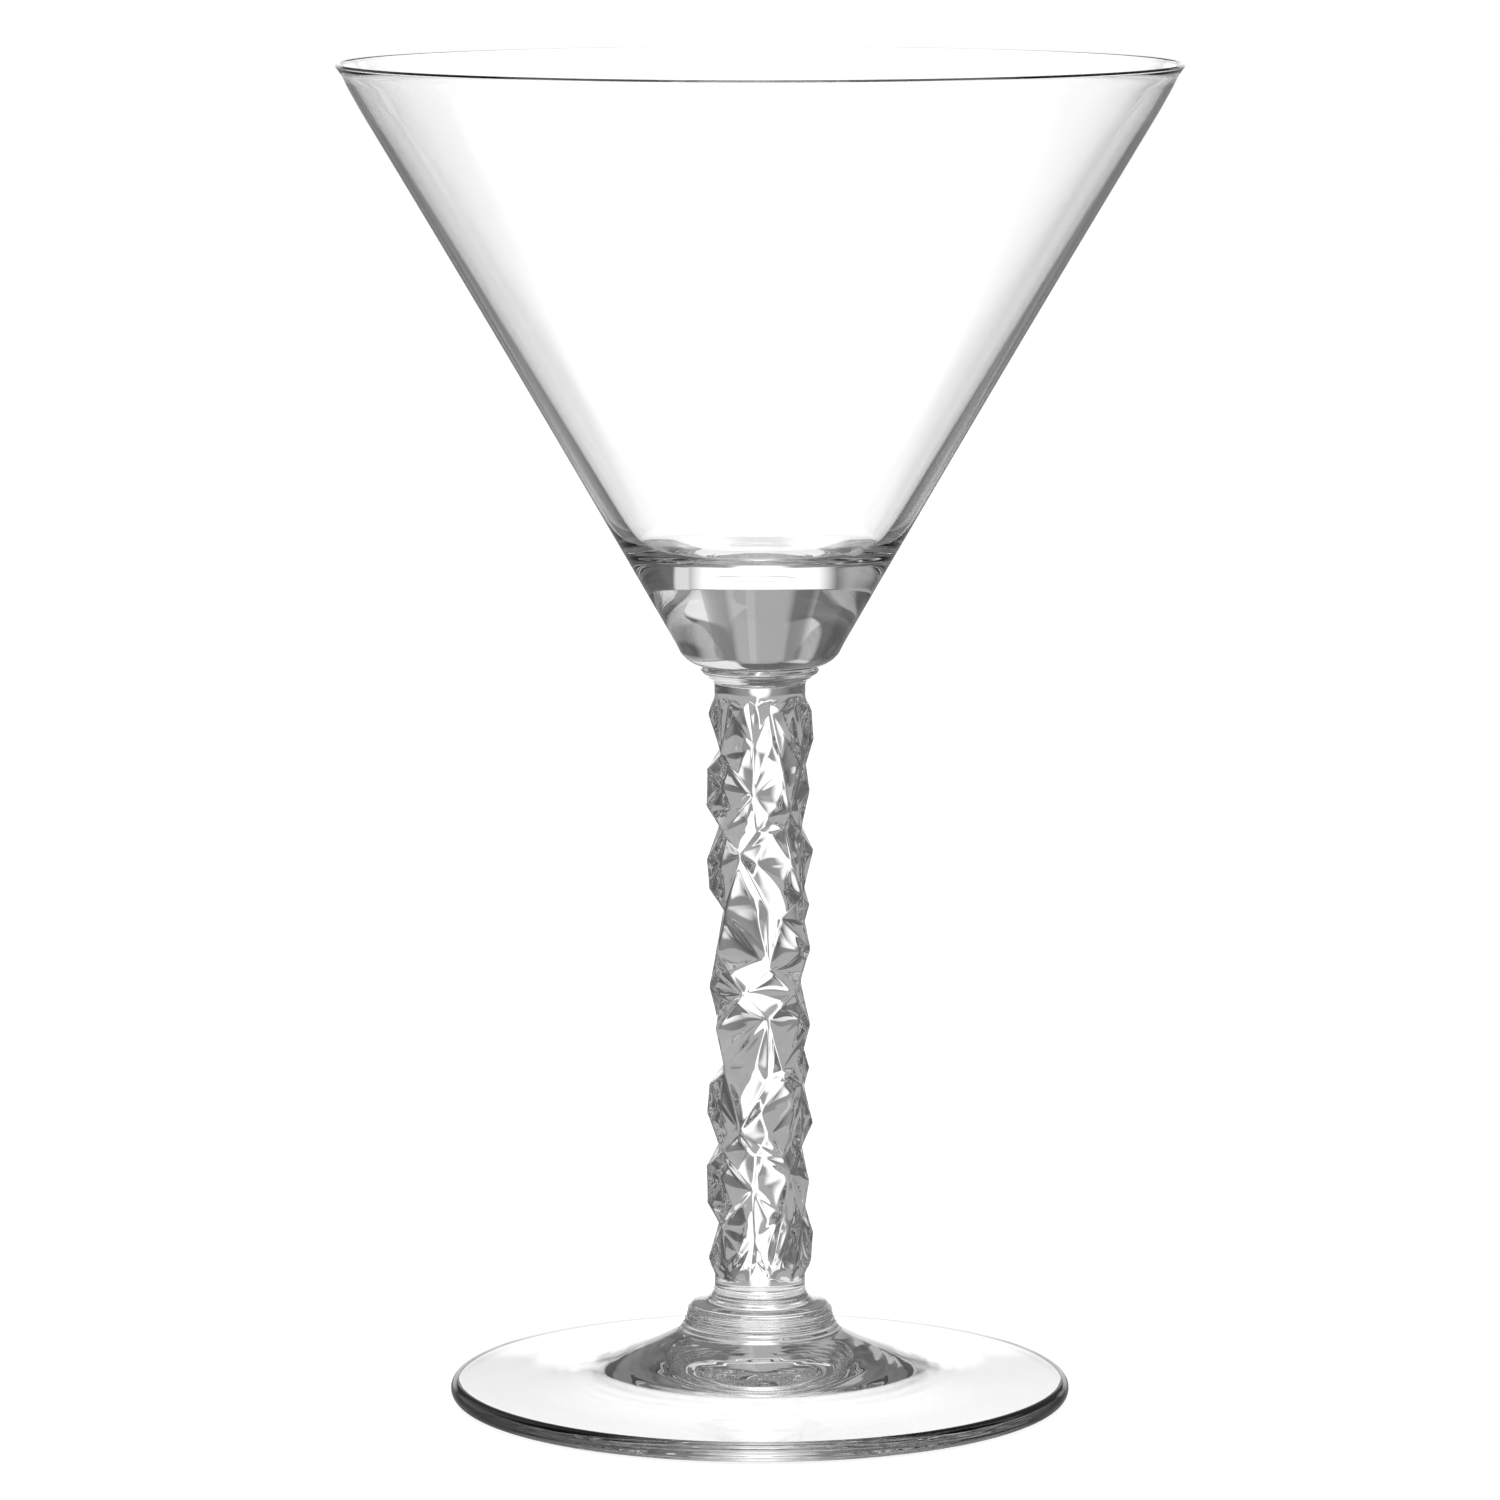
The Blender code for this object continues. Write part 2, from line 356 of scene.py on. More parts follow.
def new_group(
    name: str, inputs: dict[str, tuple[str, object]], outputs: dict[str, str]
) -> tuple[bpy.types.NodeTree, NodePen, bpy.types.Node, bpy.types.Node]:
    """Start a shader node group with named sockets.

    Args:
        name: Name of the group.
        inputs: Socket type and default value of each input, by name.
        outputs: Socket type of each output, by name.

    Returns:
        The group, a pen for it, its input node and its output node.
    """
    group = bpy.data.node_groups.new(name, "ShaderNodeTree")
    for socket_name, (kind, default) in inputs.items():
        socket = group.interface.new_socket(socket_name, in_out="INPUT", socket_type=kind)
        if default is not None:
            socket.default_value = default
    for socket_name, kind in outputs.items():
        group.interface.new_socket(socket_name, in_out="OUTPUT", socket_type=kind)
    pen = NodePen(group)
    return group, pen, pen.node("NodeGroupInput"), pen.node("NodeGroupOutput")


def tool_marks_group() -> bpy.types.NodeTree:
    """Fine level rings that a turning tool leaves in soft glass, fading in and out round the piece.

    Returns:
        A group with inputs Vector, Pitch and Patchiness and the output Height, from 0 to 1.
    """
    group, pen, given, result = new_group(
        "tool_marks",
        {
            "Vector": ("NodeSocketVector", None),
            "Pitch": ("NodeSocketFloat", 0.0004),
            "Patchiness": ("NodeSocketFloat", 0.5),
        },
        {"Height": "NodeSocketFloat"},
    )
    split = pen.node("ShaderNodeSeparateXYZ", {"Vector": given.outputs["Vector"]})
    turns = pen.math("DIVIDE", split.outputs["Z"], given.outputs["Pitch"])
    along = pen.node(
        "ShaderNodeCombineXYZ",
        {
            "X": pen.math("MULTIPLY", split.outputs["X"], 60.0),
            "Y": pen.math("MULTIPLY", split.outputs["Y"], 60.0),
            "Z": turns,
        },
    )
    rings = pen.node(
        "ShaderNodeTexNoise", {"Vector": along.outputs["Vector"], "Scale": 0.8, "Detail": 3.0, "Roughness": 0.6}
    )
    patches = pen.node("ShaderNodeTexNoise", {"Vector": given.outputs["Vector"], "Scale": 140.0, "Detail": 1.0})
    mask = pen.smooth(patches.outputs["Fac"], given.outputs["Patchiness"], 0.75, 0.0, 1.0)
    height = pen.math("MULTIPLY", rings.outputs["Fac"], mask)
    pen.tree.links.new(height, result.inputs["Height"])
    return group


def fire_polish_group() -> bpy.types.NodeTree:
    """Soft swells that flame polishing leaves, with a finer orange peel in patches.

    Returns:
        A group with inputs Vector, Swell Scale and Peel Scale and outputs Swell, Peel and Patch,
        all from 0 to 1.
    """
    group, pen, given, result = new_group(
        "fire_polish",
        {
            "Vector": ("NodeSocketVector", None),
            "Swell Scale": ("NodeSocketFloat", 90.0),
            "Peel Scale": ("NodeSocketFloat", 900.0),
        },
        {"Swell": "NodeSocketFloat", "Peel": "NodeSocketFloat", "Patch": "NodeSocketFloat"},
    )
    vector = given.outputs["Vector"]
    swell_scale, peel_scale = given.outputs["Swell Scale"], given.outputs["Peel Scale"]
    swell = pen.node("ShaderNodeTexNoise", {"Vector": vector, "Scale": swell_scale, "Detail": 1.0})
    peel = pen.node("ShaderNodeTexNoise", {"Vector": vector, "Scale": peel_scale, "Detail": 2.0})
    patch = pen.node("ShaderNodeTexNoise", {"Vector": vector, "Scale": 170.0, "Detail": 2.0, "Distortion": 0.6})
    mask = pen.smooth(patch.outputs["Fac"], 0.52, 0.66, 0.0, 1.0)
    pen.tree.links.new(swell.outputs["Fac"], result.inputs["Swell"])
    pen.tree.links.new(pen.math("MULTIPLY", peel.outputs["Fac"], mask), result.inputs["Peel"])
    pen.tree.links.new(mask, result.inputs["Patch"])
    return group


@dataclass(frozen=True)
class GlassFinish:
    """A finish of clear glass, colourless and fire-polished unless its fields say otherwise.

    Attributes:
        name: Name of the material.
        colour: Colour of the glass, very nearly white.
        polish: Roughness where the surface is fully fire-polished.
        haze: Roughness added where the worked patches are.
        swell: Height of the soft swells, in metres.
        peel: Height of the orange peel in the worked patches, in metres.
        marks: Height of the tool marks, in metres.
        mark_pitch: Spacing of the tool marks, in metres.
        mark_top: Height up to which the tool marks reach, in metres.
    """

    name: str
    colour: tuple[float, float, float] = (0.992, 0.994, 0.994)
    polish: float = 0.0
    haze: float = 0.012
    swell: float = 0.004 * MM
    peel: float = 0.0006 * MM
    marks: float = 0.001 * MM
    mark_pitch: float = 0.4 * MM
    mark_top: float = 1.0

    def material(self, groups: dict[str, bpy.types.NodeTree]) -> bpy.types.Material:
        """Build the material: clear refracting glass with swells, peel and tool marks as bump.

        Args:
            groups: The shared effect groups by name.

        Returns:
            The new material.
        """
        made = bpy.data.materials.new(self.name)
        made.use_nodes = True
        pen = NodePen(made.node_tree)
        place = pen.node("ShaderNodeTexCoord").outputs["Object"]
        polish = pen.node("ShaderNodeGroup", node_tree=groups["fire_polish"])
        pen.tree.links.new(place, polish.inputs["Vector"])
        marks = pen.node("ShaderNodeGroup", node_tree=groups["tool_marks"])
        pen.tree.links.new(place, marks.inputs["Vector"])
        marks.inputs["Pitch"].default_value = self.mark_pitch
        split = pen.node("ShaderNodeSeparateXYZ", {"Vector": place})
        reach = pen.smooth(split.outputs["Z"], self.mark_top - 2 * MM, self.mark_top, self.marks, 0.0)
        relief = pen.math("MULTIPLY", polish.outputs["Swell"], self.swell)
        relief = pen.math("MULTIPLY_ADD", polish.outputs["Peel"], self.peel, relief)
        relief = pen.math("MULTIPLY_ADD", marks.outputs["Height"], reach, relief)
        bump = pen.node("ShaderNodeBump", {"Height": relief, "Distance": 1.0, "Strength": 1.0})
        shader = made.node_tree.nodes["Principled BSDF"]
        shader.inputs["Base Color"].default_value = (*self.colour, 1.0)
        shader.inputs["Metallic"].default_value = 0.0
        shader.inputs["IOR"].default_value = Studio.glass_ior
        shader.inputs["Transmission Weight"].default_value = 1.0
        rough = pen.math("MULTIPLY_ADD", polish.outputs["Patch"], self.haze, self.polish)
        pen.tree.links.new(rough, shader.inputs["Roughness"])
        pen.tree.links.new(bump.outputs["Normal"], shader.inputs["Normal"])
        return made


def fused_joint_material() -> bpy.types.Material:
    """Clear nothing, for the flat faces where two gathers are fused into one glass."""
    made = bpy.data.materials.new("fused_joint")
    made.use_nodes = True
    tree = made.node_tree
    tree.nodes.remove(tree.nodes["Principled BSDF"])
    clear = tree.nodes.new("ShaderNodeBsdfTransparent")
    tree.links.new(clear.outputs["BSDF"], tree.nodes["Material Output"].inputs["Surface"])
    return made


# The gathers


@dataclass
class Gather:
    """One gather of glass: what every piece of the martini glass shares.

    Attributes:
        node: Name of the CAD node that the piece stands for.
        slot: Material slot of the record; not used.
        finish: Finish of the open glass.
        sharp: Angle in degrees above which an edge stays sharp.
    """

    node: str
    slot: Slot
    finish: GlassFinish
    sharp: float = 40.0

    def surface(self) -> Surface:
        """Work out the closed surface."""
        raise NotImplementedError

    def build(self, groups: dict[str, bpy.types.NodeTree], joint: bpy.types.Material) -> bpy.types.Object:
        """Make the piece, dress it and put it in the place of its CAD node.

        Args:
            groups: The shared effect groups by name.
            joint: Material of the fused faces.

        Returns:
            The finished piece.
        """
        materials = {Face.GLASS: self.finish.material(groups), Face.FUSED: joint}
        piece = self.surface().piece(self.node + "_body", materials, self.sharp)
        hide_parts(self.node)
        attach(piece, BODY)
        LOG.info("%s: %d vertices, %d faces", piece.name, len(piece.data.vertices), len(piece.data.polygons))
        return piece


@dataclass
class Foot(Gather):
    """Broad round foot: rounded edge, nearly level band and a boss that sweeps up to the collar."""

    edge_thickness: float = 2.7 * MM
    band_inner_radius: float = 33.0 * MM
    band_rise: float = 0.4 * MM
    boss_radius: float = 10.95 * MM
    band_thickness: float = 2.72 * MM
    hollow_depth: float = 3.2 * MM
    sweep_power: float = 2.35
    standing_ring: float = 0.4 * MM
    ring_depth: float = 0.004 * MM
    ring_pitch: float = 2.1 * MM
    swell_depth: float = 0.012 * MM
    worked_radius: float = 24.0 * MM
    polished_radius: float = 30.0 * MM
    boss_rows: int = 60
    hollow_rows: int = 90
    columns: int = 256

    def surface(self) -> Surface:
        """Turn the foot's outline, with faint tool rings and slow swells.

        The top rises evenly from the edge, plus a share^p sweep of the boss inside the band.
        The underside stays the band's thickness below it, but the rise r that this asks for is
        eased to the hollow's depth d as d * tanh(r / d).
        """
        low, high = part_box(self.node)
        top, radius = high.z + JOINT_REACH, high.x
        edge = self.edge_thickness / 2
        share = np.linspace(0.0, 1.0, self.boss_rows)
        out = self.band_inner_radius + (self.boss_radius - self.band_inner_radius) * share
        slope = self.band_rise / (radius - edge - self.band_inner_radius)
        band = self.edge_thickness + slope * (radius - edge - out)
        boss = np.stack([out, band + (top - band[-1]) * share**self.sweep_power], axis=1)
        under = np.linspace(0.0, radius - edge - self.standing_ring, self.hollow_rows)
        above = np.interp(under, [*boss[::-1, 0], radius - edge], [*boss[::-1, 1], self.edge_thickness])
        rise = np.clip(above - self.band_thickness, 0.0, None)
        hollow = np.stack([under, self.hollow_depth * np.tanh(rise / self.hollow_depth)], axis=1)
        profile = join(
            hollow,
            line(tuple(hollow[-1]), (radius - edge, 0.0), 3),
            arc((radius - edge, edge), edge, -90, 90, 24),
            line((radius - edge, self.edge_thickness), tuple(boss[0]), 20),
            boss,
            line((self.boss_radius, top), (0.0, top), 4),
        )
        return turned(profile, self.columns, fused_stretches(profile, top, self.boss_radius), self.relief)

    def relief(self, angle: np.ndarray, radius: np.ndarray, height: np.ndarray) -> np.ndarray:
        """Tool rings and slow swells: sines of the radius that fade towards the edge.

        Args:
            angle: Azimuths in radians.
            radius: Radii before the relief.
            height: Heights before the relief; not used.

        Returns:
            Offsets along the outward normal.
        """
        worked = 1.0 - smooth_step(self.worked_radius, self.polished_radius, radius)
        rings = np.sin(math.tau * radius / self.ring_pitch + 0.4 * np.sin(2 * angle))
        swells = self.swell_depth * wander(angle, radius, seed=3, waves=7, pitch=14 * MM)
        return self.ring_depth * rings * worked + swells * worked


@dataclass
class LowerCollar(Gather):
    """Stepped collar: skirt on the foot, rounded shoulder, then a fillet up to the neck."""

    skirt_radius: float = 10.95 * MM
    shoulder_radius: float = 9.75 * MM
    shoulder_round: float = 1.2 * MM
    shoulder_height: float = 11.7 * MM
    neck_radius: float = 6.1 * MM
    ring_depth: float = 0.035 * MM
    ring_pitch: float = 0.7 * MM
    fade_below: float = 0.5 * MM
    fade_above: float = 0.8 * MM
    columns: int = 224

    def surface(self) -> Surface:
        """Turn the collar's outline, with the ring marks of the tool that shaped it."""
        low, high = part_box(self.node)
        bottom, top = low.z - JOINT_REACH, high.z + JOINT_REACH
        shoulder = arc(
            (self.shoulder_radius - self.shoulder_round, self.shoulder_height), self.shoulder_round, 0, 70, 20
        )
        skirt = smooth_curve(
            [(self.skirt_radius, bottom), (10.3 * MM, 10.2 * MM), (9.95 * MM, 11.0 * MM), tuple(shoulder[0])], 12
        )
        fillet = smooth_curve(
            [tuple(shoulder[-1]), (7.6 * MM, 13.15 * MM), (6.8 * MM, 13.6 * MM), (6.3 * MM, 14.3 * MM),
             (self.neck_radius, top)],
            12,
        )
        profile = join(
            line((0.0, bottom), (self.skirt_radius, bottom), 4),
            skirt,
            shoulder,
            fillet,
            line((self.neck_radius, top), (0.0, top), 4),
        )
        fused = fused_stretches(profile, bottom, self.skirt_radius)
        fused += fused_stretches(profile, top, self.neck_radius)
        return turned(profile, self.columns, fused, self.relief)

    def relief(self, angle: np.ndarray, radius: np.ndarray, height: np.ndarray) -> np.ndarray:
        """Ring marks: a sine of the height that wavers round the collar, and an irregular relief.

        Args:
            angle: Azimuths in radians.
            radius: Radii before the relief; not used.
            height: Heights before the relief.

        Returns:
            Offsets along the outward normal.
        """
        low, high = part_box(self.node)
        waver = 0.35 * np.sin(angle + 0.7) + 0.2 * np.sin(3 * angle)
        rings = np.sin(math.tau * height / self.ring_pitch + waver)
        worked = between(low.z, high.z, self.fade_below, self.fade_above, height)
        return self.ring_depth * worked * (rings + 0.4 * wander(angle, height, seed=11, waves=7, pitch=1.3 * MM))


@dataclass
class UpperCollar(Gather):
    """Thin collar under the bowl: neck, hollow fillet and a lip."""

    neck_radius: float = 6.1 * MM
    lip_radius: float = 7.95 * MM
    top_radius: float = 7.4 * MM
    ring_depth: float = 0.035 * MM
    ring_pitch: float = 0.55 * MM
    fade: float = 0.3 * MM
    columns: int = 224

    def surface(self) -> Surface:
        """Turn the collar's outline, with a few level tool rings."""
        low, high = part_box(self.node)
        bottom, top = low.z - JOINT_REACH, high.z + JOINT_REACH
        side = smooth_curve(
            [(self.neck_radius, bottom), (6.2 * MM, 97.4 * MM), (6.6 * MM, 97.8 * MM), (7.2 * MM, 98.25 * MM),
             (7.75 * MM, 98.7 * MM), (self.lip_radius, 99.0 * MM), (7.8 * MM, 99.25 * MM), (self.top_radius, top)],
            10,
        )
        profile = join(
            line((0.0, bottom), (self.neck_radius, bottom), 4), side, line((self.top_radius, top), (0.0, top), 4)
        )
        fused = fused_stretches(profile, bottom, self.neck_radius)
        fused += fused_stretches(profile, top, self.top_radius)
        return turned(profile, self.columns, fused, self.relief)

    def relief(self, angle: np.ndarray, radius: np.ndarray, height: np.ndarray) -> np.ndarray:
        """Level rings, a sine of the height that wavers round the collar, none at its fused ends.

        Args:
            angle: Azimuths in radians.
            radius: Radii before the relief; not used.
            height: Heights before the relief.

        Returns:
            Offsets along the outward normal.
        """
        low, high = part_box(self.node)
        rings = np.sin(math.tau * height / self.ring_pitch + 0.6 * np.sin(angle + 1.9))
        worked = between(low.z, high.z, self.fade, self.fade, height)
        uneven = wander(angle, height, seed=23, waves=7, pitch=0.9 * MM)
        return self.ring_depth * worked * (0.8 * rings + 0.5 * uneven)


@dataclass
class Bowl(Gather):
    """Wide cone with a slight flare, a rounded lip that draws in, and a thick solid base."""

    slope_at_base: float = 0.573
    slope_at_rim: float = 0.601
    lip_turn_in: float = 0.5 * MM
    lip_turn_height: float = 8.0 * MM
    wall_at_rim: float = 0.7 * MM
    wall_at_floor: float = 2.2 * MM
    base_fillet: float = 4.0 * MM
    rounding: float = 22.0
    floor_height: float = 115.2 * MM
    joint_radius: float = 7.4 * MM
    bend_radius: float = 26.0 * MM
    search_depth: float = 60.0 * MM
    search_steps: int = 4000
    swirl_depth: float = 0.018 * MM
    ridge_radius: float = 3.4 * MM
    ridge_width: float = 0.5 * MM
    groove_radius: float = 4.6 * MM
    groove_width: float = 0.6 * MM
    waver_depth: float = 0.004 * MM
    columns: int = 256

    def outer_radius(self, height: np.ndarray) -> np.ndarray:
        """Outer radius: a cone whose slope grows evenly to the rim, less the lip's turning in.

        Args:
            height: Heights in metres.

        Returns:
            Radius at each height.
        """
        low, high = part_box(self.node)
        below = high.z - height
        gain = (self.slope_at_rim - self.slope_at_base) / (high.z - low.z)
        flare = high.x + self.lip_turn_in - self.slope_at_rim * below + gain * below**2 / 2
        return flare - self.lip_turn_in * np.clip(1 - below / self.lip_turn_height, 0, None) ** 2

    def inner_radius(self, height: np.ndarray) -> np.ndarray:
        """Inner radius: the outer one less a wall that thins evenly up to the rim.

        Args:
            height: Heights in metres.

        Returns:
            Radius at each height.
        """
        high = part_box(self.node)[1]
        share = (height - self.floor_height) / (high.z - self.floor_height)
        wall = self.wall_at_floor + (self.wall_at_rim - self.wall_at_floor) * share
        return self.outer_radius(height) - wall / math.cos(math.atan(self.slope_at_rim))

    def cavity(self, lip_height: float) -> Profile:
        """Inside of the bowl: its slanted wall, rounded smoothly over the solid base.

        With t the height of the unrounded wall above its apex and c the floor's, the rounded
        height above the apex is (t^p + c^p)^(1/p), less a share (t / T)^2 of what that adds at
        the lip's t, T, so that the wall meets the lip.

        Args:
            lip_height: Height at which the wall meets the lip's arc.

        Returns:
            Array of (radius, height) rows from the lip down to the axis.
        """
        heights = np.linspace(self.floor_height - self.search_depth, lip_height, self.search_steps)
        radii = self.inner_radius(heights)
        apex = float(np.interp(0.0, radii, heights))
        lip_radius = float(radii[-1])
        bend = self.bend_radius
        radius = np.concatenate([np.linspace(lip_radius, bend, 46)[:-1], np.linspace(bend, 0.0, 110)])
        rise = np.interp(radius, radii, heights) - apex
        power, floor, full = self.rounding, self.floor_height - apex, lip_height - apex
        rounded = (rise**power + floor**power) ** (1 / power)
        excess = (full**power + floor**power) ** (1 / power) - full
        return np.stack([radius, apex + rounded - excess * (rise / full) ** 2], axis=1)

    def corner(self, height: float, wall_radius: float, slope: float, fillet: float, steps: int) -> Profile:
        """Arc tangent to a level floor that turns up into the slanted wall.

        Args:
            height: Height of the floor.
            wall_radius: Radius at which the wall's line meets the floor.
            slope: Radius that the wall gains per unit of height.
            fillet: Radius of the arc.
            steps: Number of stretches.

        Returns:
            Array of (radius, height) rows from the floor up.
        """
        rise = math.degrees(math.atan2(1.0, slope))
        start = wall_radius - fillet * math.tan(math.radians(rise / 2))
        return arc((start, height + fillet), fillet, -90, -90 + rise, steps)

    def surface(self) -> Surface:
        """Turn the bowl's outline: base, outer wall, lip, inner wall and floor."""
        low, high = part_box(self.node)
        base = low.z - JOINT_REACH
        wall_foot = float(self.outer_radius(np.array(low.z)))
        outer = self.corner(base, wall_foot, self.slope_at_base, self.base_fillet, 24)
        lip_radius = self.wall_at_rim / 2
        lip_height = high.z - lip_radius
        up = np.linspace(outer[-1, 1], lip_height, 70)[1:-1]
        profile = join(
            line((0.0, base), (self.joint_radius, base), 4),
            outer,
            np.stack([self.outer_radius(up), up], axis=1),
            arc((high.x - lip_radius, lip_height), lip_radius, 0, 180, 16),
            self.cavity(lip_height),
        )
        return turned(profile, self.columns, fused_stretches(profile, base, self.joint_radius), self.relief)

    def relief(self, angle: np.ndarray, radius: np.ndarray, height: np.ndarray) -> np.ndarray:
        """Swirl in the floor, a faint waver of the solid base and nothing near the rim.

        The swirl is a bell-shaped ridge with a groove outside it, round an axis that drifts.

        Args:
            angle: Azimuths in radians.
            radius: Radii before the relief.
            height: Heights before the relief.

        Returns:
            Offsets along the outward normal.
        """
        inside = radius < self.outer_radius(height) - 0.6 * MM
        floor = inside * (1 - smooth_step(self.floor_height + 0.3 * MM, self.floor_height + 2.5 * MM, height))
        spiral = radius + 0.35 * MM * np.sin(angle) + 0.12 * MM * np.sin(2 * angle)
        ridge = np.exp(-(((spiral - self.ridge_radius) / self.ridge_width) ** 2))
        groove = np.exp(-(((spiral - self.groove_radius) / self.groove_width) ** 2))
        low_wall = 1 - smooth_step(104 * MM, 122 * MM, height)
        waver = self.waver_depth * wander(angle, height, seed=5, waves=8, pitch=9 * MM) * low_wall
        return self.swirl_depth * (ridge - 0.5 * groove) * floor + waver


@dataclass
class FacetedStem(Gather):
    """Pressed stem: the CAD stem's flat facets, each slightly hollowed, with softened ridges."""

    neck_radius: float = 6.1 * MM
    neck_length: float = 0.9 * MM
    divisions: int = 22
    hollow: float = 0.20 * MM
    soften_rounds: int = 2
    soften_share: float = 0.5
    facet_size: float = 6.0 * MM
    round_reach: float = 1.6 * MM
    level_reach: float = 0.4 * MM

    def facets(self) -> tuple[np.ndarray, np.ndarray]:
        """Corners and triangles of the CAD stem's skin, without its round necks.

        Returns:
            Corner positions, one row each, and the corner numbers of each triangle.
        """
        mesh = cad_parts[self.node].data
        loose = np.empty(len(mesh.vertices) * 3)
        mesh.vertices.foreach_get("co", loose)
        mesh.calc_loop_triangles()
        triangles = np.empty(len(mesh.loop_triangles) * 3, dtype=np.int64)
        mesh.loop_triangles.foreach_get("vertices", triangles)
        corners, number = welded(loose.reshape(-1, 3))
        triangles = number[triangles].reshape(-1, 3)
        heights = corners[triangles][:, :, 2]
        low, high = (corner.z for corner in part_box(self.node))
        slack = 0.1 * self.neck_length
        skin = (heights.max(axis=1) < high - self.neck_length + slack) & (
            heights.min(axis=1) > low + self.neck_length - slack
        )
        return corners, triangles[skin]

    def fine_skin(self) -> tuple[np.ndarray, np.ndarray]:
        """Divide every facet into a triangular grid and hollow it.

        With barycentric shares a, b and c of a facet's corners A, B and C, a point is
        aA + bB + cC, sunk along the facet's normal by hollow * 27abc.

        Returns:
            Points, one row each, and the point numbers of each small triangle.
        """
        corners, triangles = self.facets()
        n = self.divisions
        i, j = (part[np.add(*np.indices((n + 1, n + 1))) <= n] for part in np.indices((n + 1, n + 1)))
        share = np.stack([n - i - j, i, j], axis=1) / n
        abc = corners[triangles]
        normal = np.cross(abc[:, 1] - abc[:, 0], abc[:, 2] - abc[:, 0])
        span = np.sqrt(np.linalg.norm(normal, axis=1))
        normal /= np.linalg.norm(normal, axis=1)[:, None]
        draw = np.random.default_rng(seed=17).uniform(0.5, 1.5, len(span))
        depth = self.hollow * draw * np.clip(span / self.facet_size, 0.2, 1.4)
        sink = 27 * share.prod(axis=1)[None, :] * depth[:, None]
        points = np.einsum("pk,fkx->fpx", share, abc) - sink[:, :, None] * normal[:, None, :]
        number = np.full((n + 1, n + 1), -1)
        number[i, j] = np.arange(len(i))
        up = np.stack([number[:-1, :-1], number[1:, :-1], number[:-1, 1:]], axis=2).reshape(-1, 3)
        down = np.stack([number[1:, :-1], number[1:, 1:], number[:-1, 1:]], axis=2).reshape(-1, 3)
        small = np.vstack([up, down])
        small = small[(small >= 0).all(axis=1)]
        faces = (small[None] + len(i) * np.arange(len(triangles))[:, None, None]).reshape(-1, 3)
        points, merged = welded(points.reshape(-1, 3))
        return points, merged[faces]

    def softened(self, points: np.ndarray, faces: np.ndarray) -> np.ndarray:
        """Ease the ridges: each round moves every point part of the way to its neighbours' mean.

        Flat even stretches stay as they are, because a point there is its neighbours' mean.

        Args:
            points: Point positions.
            faces: Point numbers of each triangle.

        Returns:
            The eased positions.
        """
        edges = np.vstack([faces[:, [0, 1]], faces[:, [1, 2]], faces[:, [2, 0]]])
        edges = np.unique(np.sort(edges, axis=1), axis=0)
        ends = np.concatenate([edges[:, 0], edges[:, 1]])
        others = np.concatenate([edges[:, 1], edges[:, 0]])
        count = np.bincount(ends, minlength=len(points))[:, None]
        for _ in range(self.soften_rounds):
            total = np.stack([np.bincount(ends, points[others, k], len(points)) for k in range(3)], axis=1)
            points = points + self.soften_share * (total / count - points)
        return points

    def surface(self) -> Surface:
        """Facet skin, eased into a round neck and closed with a fused disc at each end."""
        points, faces = self.fine_skin()
        low, high = (corner.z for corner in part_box(self.node))
        eased = self.softened(points, faces)
        ends = np.array([low + self.neck_length, high - self.neck_length])
        near = np.abs(points[:, 2:] - ends).min(axis=1)
        hold = 1 - smooth_step(0.0, self.round_reach, near)
        radius = np.hypot(eased[:, 0], eased[:, 1])
        eased[:, :2] *= (1 + hold * (self.neck_radius / radius - 1))[:, None]
        level = 1 - smooth_step(0.0, self.level_reach, near)
        eased[:, 2] += level * (points[:, 2] - eased[:, 2])
        all_points, all_faces = [eased], [faces]
        tips = (low - JOINT_REACH, high + JOINT_REACH)
        for end, tip in zip(ends, tips):
            ring = np.flatnonzero(np.abs(points[:, 2] - end) < SAME_PLACE)
            azimuth = np.arctan2(eased[ring, 0], -eased[ring, 1])
            ring = ring[np.argsort(azimuth)]
            if tip < end:
                ring = ring[::-1]
            base = sum(len(part) for part in all_points)
            rim = eased[ring].copy()
            rim[:, 2] = tip
            all_points += [rim, np.array([[0.0, 0.0, tip]])]
            rim_number = base + np.arange(len(ring))
            after = np.roll(np.arange(len(ring)), -1)
            side_a = np.stack([ring, ring[after], rim_number[after]], axis=1)
            side_b = np.stack([ring, rim_number[after], rim_number], axis=1)
            cap = np.stack([rim_number, rim_number[after], np.full(len(ring), base + len(ring))], axis=1)
            all_faces += [side_a, side_b, cap]
        points = np.vstack(all_points)
        faces = np.vstack(all_faces)
        heights = points[faces][:, :, 2]
        fused = (np.abs(heights - tips[0]) < SAME_LEVEL).all(axis=1)
        fused |= (np.abs(heights - tips[1]) < SAME_LEVEL).all(axis=1)
        LOG.info("stem: %d facet divisions, %d fused faces", self.divisions, int(fused.sum()))
        return Surface(points, faces.tolist(), np.where(fused, Face.FUSED.value, Face.GLASS.value))


# Studio


@dataclass(frozen=True)
class LightCard:
    """A soft-edged white or grey card round the glass, which only the glass sees.

    Attributes:
        heading: Direction of the card's middle, in degrees from +Y towards +X.
        half_width: Half of its width, in degrees.
        side_edge: Width of its soft left and right edges, in degrees.
        low: Elevation of its lower edge, in degrees.
        high: Elevation of its upper edge, in degrees.
        level_edge: Width of its soft lower and upper edges, in degrees.
        strength: Its brightness.
        mirrored: Share of the brightness left for rays that Light Path calls glossy.
    """

    heading: float
    half_width: float
    side_edge: float
    low: float
    high: float
    level_edge: float
    strength: float
    mirrored: float = 1.0


